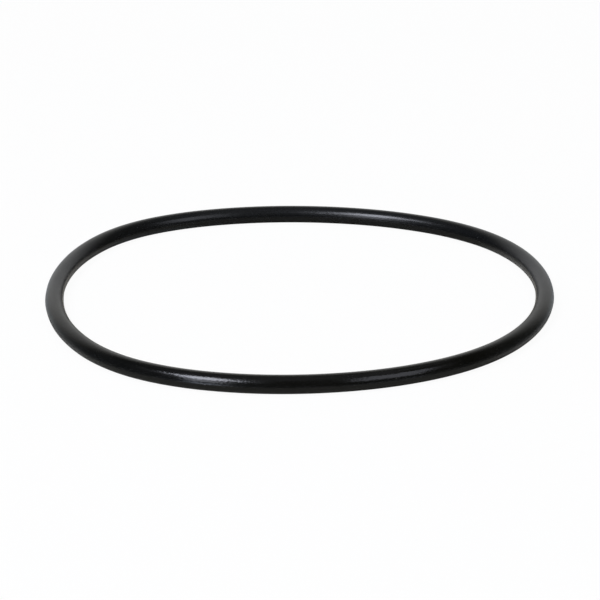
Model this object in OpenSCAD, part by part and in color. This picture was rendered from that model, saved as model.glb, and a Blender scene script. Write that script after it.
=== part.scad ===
// Rubber o-ring, moulded in one piece, lying free on a flat surface.
// The origin is under the middle of the ring, on the surface that it lies on.

/* [Ring] */
// Inside diameter, measured with the ring drawn round
inside_d = 80; // [20:0.5:250]
// Diameter of the round section
section_d = 3; // [1.5:0.1:7]

/* [Mould parting line] */
// How far the trimmed line stands proud of the round section
line_h = 0.03; // [0.02:0.01:0.15]
// Height of the line, across the parting plane
line_w = 0.1; // [0.06:0.01:0.4]

/* [Lie of the free ring] */
// Three-lobed bulge, as a percentage of the mean radius, 0 for a true circle
three_lobe = 1.55; // [0:0.05:3]
// Direction of the first of the three lobes, in degrees from +X
three_lobe_heading = 10; // [0:1:119]
// Four-cornered bulge, as a percentage of the mean radius, 0 for a true circle
four_lobe = 1.8; // [0:0.05:3]
// Direction of the first of the four corners, in degrees from +X
four_lobe_heading = 45; // [0:1:89]

/* [Hidden] */

mean_r = (inside_d + section_d) / 2;

// The free ring is a closed chain of arcs. Each turns by the same angle and runs on from the
// last without a kink, so only the bend radius changes. A multiple of four puts the ends of
// arcs where the outline is widest, along X and along Y.
arcs = 24;
turn = 360 / arcs;
quarter = arcs / 4;

// Short bar inside the section where two arcs meet: it ties them together and stays out of sight
tie_d = 0.5 * section_d;
tie_l = 0.5 * section_d;

// Facets of a full circle, round the section and round the ring
section_facets = 40;
ring_facets = 96;

// Places are applied in whole steps of this length, and then by the small rest
step = 0.01;

// A bulge of n lobes bends the line by n * n - 1 times its own share of the radius
function bulge(n, percent, heading, dir) = (n * n - 1) * percent / 100 * cos(n * (dir - heading));

// Bend radius of arc k, taken at its middle. Bulges of two lobes or more leave the chain closed
// and its length that of the true circle.
function bend_r(k) =
    let (dir = (k + 0.5) * turn)
    mean_r * (1 - bulge(3, three_lobe, three_lobe_heading, dir) - bulge(4, four_lobe, four_lobe_heading, dir));

function heading_of(k) = [cos(k * turn), sin(k * turn)];

// Centre of arc k: it moves along the radius that two neighbours share
function chain_centre(k) =
    k == 0 ? [0, 0] : chain_centre(k - 1) + (bend_r(k - 1) - bend_r(k)) * heading_of(k);

// Start of arc k, on the middle of the section
function chain_point(k) = chain_centre(k) + bend_r(k) * heading_of(k);

middle = [
    (chain_point(0).x + chain_point(2 * quarter).x) / 2,
    (chain_point(quarter).y + chain_point(3 * quarter).y) / 2
];

// Moves by v in a rounded step and its small rest, so that neighbours meet to the last digit
module place(v) {
    whole = [for (x = v) round(x / step) * step];
    translate(whole) translate(v - whole) children();
}

// Round section with the parting line on its inside and its outside diameter
module section() {
    circle(d = section_d, $fn = section_facets);
    square([section_d + 2 * line_h, line_w], center = true);
}

module arc(k) {
    centre = chain_centre(k) - middle;
    place([centre.x, centre.y, section_d / 2])
        rotate_extrude(angle = turn, start = k * turn, $fn = ring_facets)
            place([bend_r(k), 0]) section();
}

module tie(k) {
    start = chain_point(k) - middle;
    translate([start.x, start.y, section_d / 2])
        rotate([90, 0, k * turn])
            cylinder(h = tie_l, d = tie_d, center = true, $fn = section_facets);
}

module ring() {
    color("#1b1b1c")
        for (k = [0 : arcs - 1]) {
            arc(k);
            tie(k);
        }
}

ring();
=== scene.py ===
# %% [markdown]
# # A rubber o-ring
# The object is one moulded ring of black rubber that lies free on a white table. The packed
# CAD model gives its true size and place. This script makes the piece that is seen in its
# place, with a fine parting line, a slightly uneven skin and a satin rubber finish, and then
# the table, the lamps and the camera.

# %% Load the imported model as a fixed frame
import math

import bmesh
import bpy
from mathutils import Matrix, Quaternion, Vector, noise


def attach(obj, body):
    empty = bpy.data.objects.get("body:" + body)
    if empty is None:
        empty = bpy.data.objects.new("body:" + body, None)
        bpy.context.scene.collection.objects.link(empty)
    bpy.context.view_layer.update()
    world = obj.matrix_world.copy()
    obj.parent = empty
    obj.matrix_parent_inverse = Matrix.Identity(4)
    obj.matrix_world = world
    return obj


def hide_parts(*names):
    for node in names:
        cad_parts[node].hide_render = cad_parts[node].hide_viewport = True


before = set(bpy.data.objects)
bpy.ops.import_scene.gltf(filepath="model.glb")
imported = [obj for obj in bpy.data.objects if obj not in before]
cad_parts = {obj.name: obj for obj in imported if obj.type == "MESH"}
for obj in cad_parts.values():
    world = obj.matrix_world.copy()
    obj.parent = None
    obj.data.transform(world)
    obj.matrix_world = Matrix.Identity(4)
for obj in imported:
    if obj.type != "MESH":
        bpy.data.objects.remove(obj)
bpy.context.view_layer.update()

# %% [markdown]
# ## The sizes of the ring
# A ring like this is sold by its inside diameter and the diameter of its section. The free
# ring isn't quite a circle: it leans a little towards three lobes and four corners. Apart
# from the narrow crown of the parting line, the values are those of the CAD source, in
# metres here, so the piece lands on its solid.

# %% Driving sizes
MM = 0.001
INSIDE_D = 80 * MM
SECTION_D = 3 * MM
LINE_PROUD = 0.03 * MM
LINE_ROOT = 0.10 * MM
LINE_CROWN = 0.04 * MM
THREE_LOBE, THREE_HEADING = 0.0155, math.radians(10)
FOUR_LOBE, FOUR_HEADING = 0.018, math.radians(45)

MEAN_R = (INSIDE_D + SECTION_D) / 2
SECTION_R = SECTION_D / 2
ARCS = 24
TURN = math.tau / ARCS
RING_LENGTH = math.tau * MEAN_R
print("mean radius in mm:", MEAN_R / MM, "length in mm:", round(RING_LENGTH / MM, 2))

# %% [markdown]
# ## The line that the ring follows
# A bent bar could follow a spline through hand-placed points, but then its length would
# drift. Here it is a closed chain of arcs, as in the CAD source. Each arc turns by the same
# angle, and only the bend radius changes, so the chain closes and has no kink.


# %% Bend radius and centre of each arc
def bulge(lobes, share, heading, direction):
    return (lobes * lobes - 1) * share * math.cos(lobes * (direction - heading))


def bend_radius(arc):
    direction = (arc + 0.5) * TURN
    three = bulge(3, THREE_LOBE, THREE_HEADING, direction)
    four = bulge(4, FOUR_LOBE, FOUR_HEADING, direction)
    return MEAN_R * (1 - three - four)


def heading_of(arc):
    return Vector((math.cos(arc * TURN), math.sin(arc * TURN), 0))


centres = [Vector((0, 0, 0))]
for arc in range(1, ARCS):
    step = bend_radius(arc - 1) - bend_radius(arc)
    centres.append(centres[-1] + step * heading_of(arc))
starts = [centres[arc] + bend_radius(arc) * heading_of(arc) for arc in range(ARCS)]

right, back, left, front = (starts[quarter * ARCS // 4] for quarter in range(4))
middle = Vector((right.x + left.x, back.y + front.y, 0)) / 2
centres = [centre - middle for centre in centres]
starts = [start - middle for start in starts]
bends = [bend_radius(arc) / MM for arc in range(ARCS)]
print("bend radius in mm from", round(min(bends), 1), "to", round(max(bends), 1))

# %% [markdown]
# ## The section
# The section is a circle. Two mould halves meet at its middle height, and a little rubber
# creeps between them and is trimmed, which leaves a fine line on the inside and the outside.
# A separate ring for the line would cut through the skin, so the line is drawn on the circle
# itself: the edges beside its two middle points are split, and the points between are pushed
# outwards and closer together. That gives the line a root and a narrower crown.

# %% Circle with the parting line on it
SECTION_SIDES = 96


def make_section(bm):
    bmesh.ops.create_circle(bm, cap_ends=False, radius=SECTION_R, segments=SECTION_SIDES)
    upright = Matrix.Rotation(math.pi / 2, 3, "X")
    bmesh.ops.rotate(bm, verts=bm.verts, cent=(0, 0, 0), matrix=upright)
    for side in (-1, 1):
        tip = min(bm.verts, key=lambda v: (v.co - Vector((side * SECTION_R, 0, 0))).length)
        for edge in tip.link_edges:
            root = edge.other_vert(tip)
            up = math.copysign(LINE_ROOT / 2, root.co.z)
            root.co = Vector((side * math.sqrt(SECTION_R ** 2 - up ** 2), 0, up))
        bmesh.ops.subdivide_edges(bm, edges=list(tip.link_edges), cuts=1)
        crown = [v for v in bm.verts if side * v.co.x > 0 and abs(v.co.z) < LINE_ROOT / 3]
        for vert in crown:
            vert.co.x = side * (SECTION_R + LINE_PROUD)
            vert.co.z = max(-LINE_CROWN / 2, min(LINE_CROWN / 2, vert.co.z))


print("parting line in mm:", LINE_PROUD / MM, "proud and", LINE_ROOT / MM, "high at its root")

# %% [markdown]
# ## The ring
# A real ring is moulded between two grooved plates. The same form comes from turning the
# section about the centre of each arc in turn. One long chain of spins gets slow as the mesh
# grows, so each arc is spun in a small mesh of its own. The arcs are then joined, and the
# points that they share are merged, so the ring has no seam.

# %% Spin the section round the chain of arcs
STEPS_PER_ARC = 35
WELD = 0.002 * MM


def spin_arc(arc):
    bm = bmesh.new()
    make_section(bm)
    turned = Matrix.Rotation(arc * TURN, 3, "Z")
    bmesh.ops.rotate(bm, verts=bm.verts, cent=(0, 0, 0), matrix=turned)
    bmesh.ops.translate(bm, verts=bm.verts, vec=starts[arc] + Vector((0, 0, SECTION_R)))
    bmesh.ops.spin(bm, geom=list(bm.verts) + list(bm.edges), cent=centres[arc], axis=(0, 0, 1),
                   angle=TURN, steps=STEPS_PER_ARC, use_merge=False)
    return bm


ring_bm = bmesh.new()
arc_mesh = bpy.data.meshes.new("arc")
for arc in range(ARCS):
    arc_bm = spin_arc(arc)
    arc_bm.to_mesh(arc_mesh)
    arc_bm.free()
    ring_bm.from_mesh(arc_mesh)
bpy.data.meshes.remove(arc_mesh)
bmesh.ops.remove_doubles(ring_bm, verts=ring_bm.verts, dist=WELD)
bmesh.ops.recalc_face_normals(ring_bm, faces=ring_bm.faces)
open_edges = sum(not edge.is_manifold for edge in ring_bm.edges)
print("faces:", len(ring_bm.faces), "edges left open:", open_edges)

# %% [markdown]
# ## Where a point lies on the bar
# Patterns on a ring have to follow it. Blender can unwrap a mesh by itself, but a map like
# that has no fixed scale. So this UV map is worked out: it holds how far round the ring a
# point is, and how far round the section, both from 0 to 1. A face that crosses the start
# would stretch back over the whole map, so each corner is brought next to the first corner
# of its face.


# %% UV map along the bar and round its section
def bar_place(point):
    offset = point - Vector((0, 0, point.z))
    arc = int((math.atan2(offset.y, offset.x) % math.tau) / TURN)
    for near in (arc - 1, arc, arc + 1):
        arm = offset - centres[near % ARCS]
        turned = math.atan2(arm.y, arm.x) % math.tau
        if int(turned / TURN) % ARCS == near % ARCS:
            break
    out = arm.length - bend_radius(near % ARCS)
    return turned / math.tau, (math.atan2(point.z - SECTION_R, out) / math.tau) % 1


def beside(value, near):
    return value + round(near - value)


bar_map = ring_bm.loops.layers.uv.new("bar")
places = {vert: bar_place(vert.co) for vert in ring_bm.verts}
for face in ring_bm.faces:
    along, around = places[face.verts[0]]
    for loop in face.loops:
        u, v = places[loop.vert]
        loop[bar_map].uv = (beside(u, along), beside(v, around))
print("points placed on the bar:", len(places))

# %% [markdown]
# ## An uneven skin
# Moulded rubber is never as true as the drawing: the skin swells and sinks by a few
# thousandths of a millimetre, and that makes the edges of its highlights wander. A bump in
# the material would leave the outline as it is, so a smooth noise moves the points instead.
# Each one moves inwards along its normal, so the ring never leaves its size.

# %% Sink the skin by a smooth noise
SWELL = 0.008 * MM
SWELL_LENGTH = 4.0 * MM


def sink(point):
    return SWELL * (0.5 + 0.5 * noise.noise(point / SWELL_LENGTH))


ring_bm.normal_update()
moves = [(vert, vert.normal * -sink(vert.co)) for vert in ring_bm.verts]
for vert, move in moves:
    vert.co += move
print("deepest sink in mm:", round(max(move.length for vert, move in moves) / MM, 4))

# %% [markdown]
# ## The finished piece
# Round rubber shades smoothly, and only the parting line is crisp. Smooth faces alone would
# smear the line, and a bevel would add many thin faces, so edges sharper than a set angle are
# marked as sharp. The piece rides on the root body and is shown in place of the CAD solid.

# %% Finish the mesh and put it in place of the CAD solid
CREASE = math.radians(30)

for face in ring_bm.faces:
    face.smooth = True
for edge in ring_bm.edges:
    edge.smooth = edge.calc_face_angle(0) < CREASE
ring_mesh = bpy.data.meshes.new("rubber_ring")
ring_bm.to_mesh(ring_mesh)
ring_bm.free()
ring = bpy.data.objects.new("rubber_ring", ring_mesh)
bpy.context.scene.collection.objects.link(ring)
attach(ring, "root")
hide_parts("ring")
print("triangles:", 2 * len(ring_mesh.polygons))

# %% [markdown]
# ## Tools for the materials
# A material is a net of nodes. One helper adds a node and fills in its sockets, so that each
# finish below reads as a short list. The others add the nodes that come back most often: a
# piece of arithmetic, a ramp from one span of values to another, a blend of two colours, a
# mix of two shaders, and the place of a point on the object.


# %% Node helpers
def add(tree, kind, sockets=None, **settings):
    node = tree.nodes.new(kind)
    for name, value in settings.items():
        setattr(node, name, value)
    for name, value in (sockets or {}).items():
        if isinstance(value, bpy.types.NodeSocket):
            tree.links.new(value, node.inputs[name])
        else:
            node.inputs[name].default_value = value
    return node


def math_node(tree, operation, first, second=0.0):
    return add(tree, "ShaderNodeMath", {0: first, 1: second}, operation=operation).outputs[0]


def ramp(tree, value, span, levels=(0.0, 1.0)):
    sockets = {"Value": value, "From Min": span[0], "From Max": span[1],
               "To Min": levels[0], "To Max": levels[1]}
    return add(tree, "ShaderNodeMapRange", sockets).outputs[0]


def blend(tree, share, first, second):
    sockets = {"Factor": share, "A": first, "B": second}
    return add(tree, "ShaderNodeMix", sockets, data_type="RGBA").outputs["Result"]


def mix_shaders(tree, share, first, second):
    return add(tree, "ShaderNodeMixShader", {0: share, 1: first, 2: second}).outputs[0]


def place_on_object(tree):
    coordinates = add(tree, "ShaderNodeTexCoord").outputs["Object"]
    return add(tree, "ShaderNodeSeparateXYZ", {0: coordinates}).outputs


# %% [markdown]
# ## A place without a seam
# A flat pattern on the UV map would show a cut where the map starts again. So each of its two
# directions is wound round a circle, which takes four numbers, in millimetres. The larger
# circle may be shrunk, which draws the pattern out along the ring.


# %% Place on the bar as four numbers
def on_circle(tree, share, radius):
    angle = math_node(tree, "MULTIPLY", share, math.tau)
    return [math_node(tree, "MULTIPLY", math_node(tree, wave, angle), radius)
            for wave in ("COSINE", "SINE")]


def place_on_bar(tree, stretch):
    uv = add(tree, "ShaderNodeUVMap", uv_map="bar").outputs[0]
    parts = add(tree, "ShaderNodeSeparateXYZ", {0: uv}).outputs
    x, y = on_circle(tree, parts["X"], math_node(tree, "DIVIDE", MEAN_R / MM, stretch))
    z, w = on_circle(tree, parts["Y"], SECTION_R / MM)
    return add(tree, "ShaderNodeCombineXYZ", {"X": x, "Y": y, "Z": z}).outputs[0], w


# %% [markdown]
# ## A pattern without a seam
# Bloom, dust, wear, streaks and grain are all uneven in the same soft way. An image of each
# would need a seam, so one noise in four dimensions reads the place on the bar. It is a node
# group, built once and placed in the rubber for each pattern with its own values: the size of
# a patch in millimetres, the stretch along the ring, and how much finer detail it carries.

# %% Group: noise on the bar
NOISE_INPUTS = {"Size mm": 1.0, "Stretch": 1.0, "Detail": 2.0}
NOISE_ROUGHNESS = 0.55


def bar_noise():
    tree = bpy.data.node_groups.new("bar_noise", "ShaderNodeTree")
    for label, value in NOISE_INPUTS.items():
        socket = tree.interface.new_socket(label, in_out="INPUT", socket_type="NodeSocketFloat")
        socket.default_value = value
    tree.interface.new_socket("Value", in_out="OUTPUT", socket_type="NodeSocketFloat")
    given = add(tree, "NodeGroupInput").outputs
    vector, w = place_on_bar(tree, given["Stretch"])
    sockets = {"Vector": vector, "W": w, "Detail": given["Detail"],
               "Scale": math_node(tree, "DIVIDE", 1.0, given["Size mm"]),
               "Roughness": NOISE_ROUGHNESS}
    texture = add(tree, "ShaderNodeTexNoise", sockets, noise_dimensions="4D").outputs[0]
    add(tree, "NodeGroupOutput", {"Value": texture})
    return tree


noise_on_bar = bar_noise()


def pattern(tree, sockets):
    return add(tree, "ShaderNodeGroup", sockets, node_tree=noise_on_bar).outputs["Value"]


print("nodes in the noise on the bar:", len(noise_on_bar.nodes))

# %% [markdown]
# ## The colour of the rubber
# Black rubber is nearly black all through. A faint grey bloom sweats out of it in patches, and
# a few specks of dust sit on top. Over that, a cool painted glow lightens the back, where light
# from the white background veils the far run, and a painted sheen lightens both ends, where
# they catch more reflected light. One flat black would look like paint, so the colours are
# blended one over the other, by noise and by the place on the ring. In the names below, DEEP is
# a span from the front to the back, along Y, and ACROSS one from the middle to both ends, along
# X.

# %% Rubber colour
BLACK = (0.0021, 0.0021, 0.0016, 1)
BLOOM = (0.0078, 0.0078, 0.0072, 1)
# Painted glow: this cool colour lightens the back, standing in for light that veils the far
# run.
PAINTED_BACK_GLOW = (0.0070, 0.0080, 0.0096, 1)
# Painted sheen: this colour lightens both ends, standing in for the reflected light they catch.
PAINTED_END_SHEEN = (0.0190, 0.0200, 0.0220, 1)
DUST = (0.10, 0.10, 0.09, 1)

BLOOM_PATCHES = {"Size mm": 5.0, "Stretch": 1.5, "Detail": 4.0}
BLOOM_NOISE = (0.35, 0.75)
BLOOM_SHARE = 0.5
# Span and share of the painted glow on the back.
PAINTED_GLOW_DEEP = (-10 * MM, 40 * MM)
PAINTED_GLOW_SHARE = 0.5
# Spans of the painted sheen on both ends.
PAINTED_SHEEN_ACROSS = (34 * MM, 39 * MM)
PAINTED_SHEEN_DEEP = (-12 * MM, 2 * MM)
DUST_SPECKS = {"Size mm": 0.17, "Stretch": 1.0, "Detail": 0.0}
DUST_NOISE = (0.83, 0.86)


def rubber_colour(tree, place, across):
    bloom = ramp(tree, pattern(tree, BLOOM_PATCHES), BLOOM_NOISE, (0.0, BLOOM_SHARE))
    # Painted glow, lighter towards the back.
    back_glow = ramp(tree, place["Y"], PAINTED_GLOW_DEEP, (0.0, PAINTED_GLOW_SHARE))
    # Painted sheen, lighter on both ends and fading out towards the front.
    end_sheen = math_node(tree, "MULTIPLY", ramp(tree, across, PAINTED_SHEEN_ACROSS),
                         ramp(tree, place["Y"], PAINTED_SHEEN_DEEP))
    dust = ramp(tree, pattern(tree, DUST_SPECKS), DUST_NOISE)
    colour = BLACK
    for share, layer in ((bloom, BLOOM), (back_glow, PAINTED_BACK_GLOW), (end_sheen, PAINTED_END_SHEEN), (dust, DUST)):
        colour = blend(tree, share, colour, layer)
    return colour


# %% [markdown]
# ## The shine of the rubber
# What the eye reads on black rubber is its skin. A polished mould leaves it satin, with
# patches that are a little more matt, and this ring looks more matt on both ends and at the
# back. One roughness all over would look like plastic, so a stretched noise varies it and
# the place adds to it.

# %% Rubber roughness
WORN_PATCHES = {"Size mm": 1.6, "Stretch": 3.0, "Detail": 3.0}
WORN_NOISE = (0.3, 0.7)
SATIN = (0.15, 0.21)
END_MATT_ACROSS = (27 * MM, 36 * MM)
END_MATT = 0.17
BACK_MATT_DEEP = (10 * MM, 34 * MM)
BACK_MATT = 0.09


def rubber_roughness(tree, place, across):
    satin = ramp(tree, pattern(tree, WORN_PATCHES), WORN_NOISE, SATIN)
    ends = ramp(tree, across, END_MATT_ACROSS, (0.0, END_MATT))
    far_side = ramp(tree, place["Y"], BACK_MATT_DEEP, (0.0, BACK_MATT))
    return math_node(tree, "ADD", satin, math_node(tree, "MAXIMUM", ends, far_side))


# %% [markdown]
# ## Streaks and grain
# A mould is polished along its groove, which leaves fine streaks along the ring, with a
# still finer grain on them, and both break up the highlights. They are about as fine as the
# faces of the mesh, so the mesh can't hold them, and two Bump nodes tilt the shading
# instead. The back is a little smoother.

# %% Bumps of the rubber's skin
STREAKS = {"Size mm": 0.24, "Stretch": 2.5, "Detail": 2.0}
STREAK_DEPTH = 0.016 * MM
GRAIN = {"Size mm": 0.16, "Stretch": 2.2, "Detail": 0.0}
GRAIN_DEPTH = 0.012 * MM
CALM_DEEP = (-10 * MM, 34 * MM)
CALM_SHARE = 0.45


def dents(tree, noise_sockets, depth, share):
    height = math_node(tree, "MULTIPLY", pattern(tree, noise_sockets), share)
    return add(tree, "ShaderNodeBump", {"Height": height, "Strength": 1.0, "Distance": depth})


def rubber_skin(tree, place):
    share = ramp(tree, place["Y"], CALM_DEEP, (1.0, CALM_SHARE))
    coarse = dents(tree, STREAKS, STREAK_DEPTH, share)
    fine = dents(tree, GRAIN, GRAIN_DEPTH, share)
    tree.links.new(coarse.outputs[0], fine.inputs["Normal"])
    return fine.outputs[0]


# %% [markdown]
# ## The rubber
# A diffuse and a glossy shader could be mixed by hand, but the Principled shader keeps their
# balance right at every angle, so it brings the three together. Its shine comes from the
# index of refraction of rubber, which is the same all over, so it is a plain number on the
# shader's own socket.

# %% Rubber material
RUBBER_IOR = 1.5


def rubber():
    material = bpy.data.materials.new("black_rubber")
    material.use_nodes = True
    tree = material.node_tree
    shader = tree.nodes["Principled BSDF"]
    shader.inputs["IOR"].default_value = RUBBER_IOR
    place = place_on_object(tree)
    across = math_node(tree, "ABSOLUTE", place["X"])
    tree.links.new(rubber_colour(tree, place, across), shader.inputs["Base Color"])
    tree.links.new(rubber_roughness(tree, place, across), shader.inputs["Roughness"])
    tree.links.new(rubber_skin(tree, place), shader.inputs["Normal"])
    return material


ring_mesh.materials.append(rubber())
print("nodes in the rubber:", len(ring_mesh.materials[0].node_tree.nodes))

# %% [markdown]
# ## What the camera and the shine see
# The ring lies on a white table in front of a pale backdrop. The camera sees both as white,
# through Light Path. Plain white would also be simple for the shine of the rubber, but then
# its lower side would be far too light: in a dim room with bright lamps, a white sheet reads
# as grey. So the shine sees the table and the backdrop in colours of their own.

# %% Start of a stage material
FULL_WHITE = (1, 1, 1, 1)
SHEET_WHITE = (0.92, 0.92, 0.92, 1)


def seen_directly(tree, path):
    return math_node(tree, "ADD", path["Is Camera Ray"], path["Is Transmission Ray"])


def stage_material(name):
    material = bpy.data.materials.new(name)
    material.use_nodes = True
    tree = material.node_tree
    tree.nodes.remove(tree.nodes["Principled BSDF"])
    path = add(tree, "ShaderNodeLightPath").outputs
    shine = path["Is Glossy Ray"]
    return material, tree, place_on_object(tree), seen_directly(tree, path), shine


# %% [markdown]
# ## The colour of the table
# In the shine, the table is greyer inside the ring and in front of it, and paler behind it
# and near both ends, as if more light fell there. More lamps could do that, but each would
# add a highlight to the ring, so the colours are blended by place.

# %% Table in the shine of the rubber
INSIDE_FRONT = (0.34, 0.33, 0.28, 1)
INSIDE_BACK = (0.24, 0.23, 0.19, 1)
INSIDE_ENDS = (0.80, 0.77, 0.69, 1)
OUTSIDE_FRONT = (0.34, 0.34, 0.305, 1)
OUTSIDE_BACK = (0.90, 0.95, 1.0, 1)

RING_EDGE = (40.5 * MM, 47 * MM)
INSIDE_DEEP = (12 * MM, 30 * MM)
INSIDE_ACROSS = (30 * MM, 37 * MM)
OUTSIDE_DEEP = (-28 * MM, 4 * MM)


def outside_ring(tree, place):
    squares = [math_node(tree, "MULTIPLY", place[axis], place[axis]) for axis in ("X", "Y")]
    return ramp(tree, math_node(tree, "SQRT", math_node(tree, "ADD", *squares)), RING_EDGE)


def table_in_shine(tree, place, across, outside):
    inside = blend(tree, ramp(tree, place["Y"], INSIDE_DEEP), INSIDE_FRONT, INSIDE_BACK)
    inside = blend(tree, ramp(tree, across, INSIDE_ACROSS), inside, INSIDE_ENDS)
    beyond = blend(tree, ramp(tree, place["Y"], OUTSIDE_DEEP), OUTSIDE_FRONT, OUTSIDE_BACK)
    return blend(tree, outside, inside, beyond)


# %% [markdown]
# ## The polish of the table
# A smooth table mirrors what stands behind it when it is seen at a flat angle, as the ring's
# lower side sees it. A Principled shader would mirror for the camera too and grey the white
# table, so a coat is mixed in for the shine of the rubber alone, with a share from Fresnel.

# %% Mirror coat of the table
# These mirror colours are painted light and shade: darker in the middle of the ring, lighter
# near both ends and outside it.
MIRROR_MIDDLE = (0.22, 0.21, 0.18, 1)
MIRROR_ENDS = (0.92, 0.88, 0.78, 1)
MIRROR_OUTSIDE = (0.88, 0.94, 1.0, 1)
MIRROR_ACROSS = (10 * MM, 30 * MM)
MIRROR_ROUGHNESS = 0.08
TABLE_IOR = 1.5
MIRROR_FRESNEL = (0.07, 0.45)


def mirror_coat(tree, across, outside, shine):
    # The painted light of the mirror: its colour rises from the middle of the ring to both ends
    # and outside it.
    colour = blend(tree, ramp(tree, across, MIRROR_ACROSS), MIRROR_MIDDLE, MIRROR_ENDS)
    colour = blend(tree, outside, colour, MIRROR_OUTSIDE)
    sockets = {"Color": colour, "Roughness": MIRROR_ROUGHNESS}
    mirror = add(tree, "ShaderNodeBsdfAnisotropic", sockets).outputs[0]
    fresnel = add(tree, "ShaderNodeFresnel", {"IOR": TABLE_IOR}).outputs[0]
    return mirror, math_node(tree, "MULTIPLY", ramp(tree, fresnel, MIRROR_FRESNEL), shine)


# %% [markdown]
# ## The table
# A table that only glows white would lose the ring's shadow, and one that is only lit would
# need lamps that are too bright for the ring. So the camera sees a white glow with a small
# share of the lit sheet in it, which carries the soft shadow under the ring.

# %% Table material
LIT_SHARE = 0.05


def white_table():
    material, tree, place, direct, shine = stage_material("white_table")
    across = math_node(tree, "ABSOLUTE", place["X"])
    outside = outside_ring(tree, place)
    in_shine = table_in_shine(tree, place, across, outside)
    colour = blend(tree, shine, SHEET_WHITE, in_shine)
    lit = add(tree, "ShaderNodeBsdfDiffuse", {"Color": colour}).outputs[0]
    glow = add(tree, "ShaderNodeEmission", {"Strength": 1.0}).outputs[0]
    sheet = mix_shaders(tree, math_node(tree, "MULTIPLY", direct, 1 - LIT_SHARE), lit, glow)
    mirror, mirror_share = mirror_coat(tree, across, outside, shine)
    coated = mix_shaders(tree, mirror_share, sheet, mirror)
    tree.links.new(coated, tree.nodes["Material Output"].inputs["Surface"])
    return material


# %% [markdown]
# ## The backdrop
# The backdrop is a pale sheet behind the table. In the shine it is bright in its middle and
# fades to the left, to the right and upwards, as a sheet does that is lit from in front. A
# bent sheet with its own lamps could give that too, but a glow with soft borders is simpler
# to set.

# %% Backdrop material
BACKDROP_LEFT = -2.4
BACKDROP_RIGHT = 1.14
BACKDROP_DIM = (0.055, 0.054, 0.043, 1)
BACKDROP_BRIGHT = (0.71, 0.712, 0.70, 1)
FADE_LEFT = (-1.9, -0.5)
FADE_RIGHT = (0.3, BACKDROP_RIGHT)
RIGHT_LEVELS = (1.0, 0.5)
FADE_UP = (0.45, 1.2)
UP_LEVELS = (1.0, 0.3)
FADE_SLANT = 0.25


def backdrop_in_shine(tree, place):
    left = ramp(tree, place["X"], FADE_LEFT)
    right = ramp(tree, place["X"], FADE_RIGHT, RIGHT_LEVELS)
    rise = math_node(tree, "MULTIPLY", place["X"], FADE_SLANT)
    up = ramp(tree, math_node(tree, "ADD", place["Z"], rise), FADE_UP, UP_LEVELS)
    share = math_node(tree, "MULTIPLY", math_node(tree, "MULTIPLY", left, right), up)
    return blend(tree, share, BACKDROP_DIM, BACKDROP_BRIGHT)


def pale_backdrop():
    material, tree, place, direct, shine = stage_material("pale_backdrop")
    colour = blend(tree, shine, FULL_WHITE, backdrop_in_shine(tree, place))
    glow = add(tree, "ShaderNodeEmission", {"Color": colour, "Strength": 1.0}).outputs[0]
    lit = add(tree, "ShaderNodeBsdfDiffuse", {"Color": SHEET_WHITE}).outputs[0]
    sheet = mix_shaders(tree, math_node(tree, "ADD", direct, shine), lit, glow)
    tree.links.new(sheet, tree.nodes["Material Output"].inputs["Surface"])
    return material


# %% [markdown]
# ## The stage
# The table and the backdrop are two flat sheets, far larger than the ring, so that no edge
# of them shows. One curved sheet would do as well, but two let each have its own finish.
# They are stage, and no part of the object.

# %% Table and backdrop sheets
TABLE_REACH = 1.6
BACKDROP_Y = 1.1
BACKDROP_H = 1.5


def stage_piece(name, bm, material):
    mesh = bpy.data.meshes.new(name)
    bm.to_mesh(mesh)
    bm.free()
    mesh.materials.append(material)
    piece = bpy.data.objects.new(name, mesh)
    bpy.context.scene.collection.objects.link(piece)
    print(name, "in metres:", [round(side, 2) for side in piece.dimensions])


floor_bm = bmesh.new()
bmesh.ops.create_grid(floor_bm, x_segments=1, y_segments=1, size=TABLE_REACH)
stage_piece("white_table", floor_bm, white_table())

backdrop_size = (BACKDROP_RIGHT - BACKDROP_LEFT, BACKDROP_H, 1)
backdrop_middle = ((BACKDROP_LEFT + BACKDROP_RIGHT) / 2, BACKDROP_Y, BACKDROP_H / 2)
wall_bm = bmesh.new()
bmesh.ops.create_grid(wall_bm, x_segments=1, y_segments=1, size=0.5)
bmesh.ops.scale(wall_bm, verts=wall_bm.verts, vec=backdrop_size)
bmesh.ops.rotate(wall_bm, verts=wall_bm.verts, matrix=Matrix.Rotation(math.pi / 2, 3, "X"))
bmesh.ops.translate(wall_bm, verts=wall_bm.verts, vec=backdrop_middle)
stage_piece("pale_backdrop", wall_bm, pale_backdrop())

# %% [markdown]
# ## The room
# The room round the table is dim, which keeps the top of the ring black, and a little cooler
# on the left. Walls could give that, but the world's own light does it with one colour for
# each side. The camera sees it as white, like the backdrop, so the backdrop has no border.

# %% World
ROOM_LEFT = (0.050, 0.056, 0.065, 1)
ROOM_RIGHT = (0.044, 0.044, 0.036, 1)
ROOM_ACROSS = (-0.7, 0.1)


def light_room():
    world = bpy.data.worlds.new("studio_room")
    world.use_nodes = True
    bpy.context.scene.world = world
    tree = world.node_tree
    background = tree.nodes["Background"]
    direct = seen_directly(tree, add(tree, "ShaderNodeLightPath").outputs)
    direction = add(tree, "ShaderNodeTexCoord").outputs["Generated"]
    side = add(tree, "ShaderNodeSeparateXYZ", {0: direction}).outputs[0]
    room = blend(tree, ramp(tree, side, ROOM_ACROSS), ROOM_LEFT, ROOM_RIGHT)
    tree.links.new(blend(tree, direct, room, FULL_WHITE), background.inputs["Color"])
    background.inputs["Strength"].default_value = 1.0


light_room()
print("light of the room, left and right:", ROOM_LEFT[:3], ROOM_RIGHT[:3])

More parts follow.
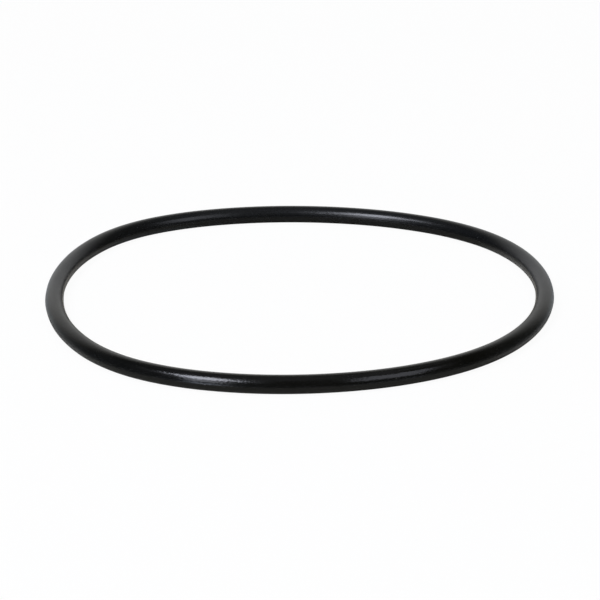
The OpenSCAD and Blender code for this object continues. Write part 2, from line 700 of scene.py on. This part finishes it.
# %% [markdown]
# ## The lamps
# Two soft boxes stand in front, one at each side, and the stronger one is on the left, with a
# low strip beside it. On a round bar each of them draws one long highlight on the near run
# and one on the far run. Small lamps would draw short, hard ones, so these are broad. Two
# sheets hang above: a weak one that the shine sees, and a strong one that it doesn't, which
# lights the table and the rubber evenly as a pale ceiling does.

# %% Soft boxes and ceiling
COOL = (0.86, 0.89, 1.0)
WHITE = (1.0, 1.0, 1.0)


def soft_box(name, azimuth, elevation, distance, size, watts, lean=0, colour=COOL):
    lamp = bpy.data.lights.new(name, "AREA")
    lamp.shape = "RECTANGLE"
    lamp.size, lamp.size_y = size
    lamp.energy = watts
    lamp.color = colour
    box = bpy.data.objects.new(name, lamp)
    bpy.context.scene.collection.objects.link(box)
    turn, rise = math.radians(azimuth), math.radians(elevation)
    level = math.cos(rise)
    away = Vector((math.sin(turn) * level, -math.cos(turn) * level, math.sin(rise)))
    facing = (-away).to_track_quat("-Z", "Y")
    box.location = away * distance
    box.rotation_mode = "QUATERNION"
    box.rotation_quaternion = Quaternion(away, math.radians(lean)) @ facing
    print(name, "at", [round(side, 2) for side in box.location], "with", watts, "W")
    return box


soft_box("soft_box_left", azimuth=-39.5, elevation=46, distance=1.0, size=(0.32, 0.48),
         watts=5.6, lean=40)
soft_box("strip_left", azimuth=-32, elevation=20, distance=1.0, size=(0.26, 0.56),
         watts=1.4, lean=5)
soft_box("soft_box_right", azimuth=43, elevation=34, distance=1.0, size=(0.46, 0.74),
         watts=1.45, lean=-20)
soft_box("ceiling_sheet", azimuth=0, elevation=90, distance=1.2, size=(1.2, 1.2), watts=0.6)
ceiling = soft_box("ceiling_bounce", azimuth=0, elevation=90, distance=1.5, size=(1.6, 1.6),
                   watts=9.0, colour=WHITE)
ceiling.visible_glossy = False

# %% [markdown]
# ## The camera
# The photograph looks down on the ring by about 20 degrees, through a long lens. A short lens
# from close by would make the far run look smaller than it is there. The aim point lies a
# little in front of the ring's middle, which puts the ring where the frame has it, and a
# slight roll levels it.

# %% Camera
CAMERA_DISTANCE = 0.4815
CAMERA_ELEVATION = math.radians(20.219)
AIM = Vector((0.05 * MM, -3.623 * MM, SECTION_R))
ROLL = math.radians(0.239)
SENSOR_WIDTH = 36
LENS = 173.4
CLIP_NEAR, CLIP_FAR = 0.01, 10

camera_data = bpy.data.cameras.new("camera")
camera_data.sensor_width = SENSOR_WIDTH
camera_data.lens = LENS
camera_data.clip_start, camera_data.clip_end = CLIP_NEAR, CLIP_FAR
camera = bpy.data.objects.new("camera", camera_data)
bpy.context.scene.collection.objects.link(camera)
bpy.context.scene.camera = camera
camera.location = Vector((0, -CAMERA_DISTANCE * math.cos(CAMERA_ELEVATION),
                          SECTION_R + CAMERA_DISTANCE * math.sin(CAMERA_ELEVATION)))
view = (AIM - camera.location).normalized()
camera.rotation_mode = "QUATERNION"
camera.rotation_quaternion = Quaternion(view, ROLL) @ view.to_track_quat("-Z", "Y")
print("camera at", [round(side, 4) for side in camera.location])

# %% [markdown]
# ## Finish
# The view transform is plain, so a colour shows as it is written. The piece may not grow
# past the solid.

bpy.context.scene.view_settings.view_transform = "Standard"
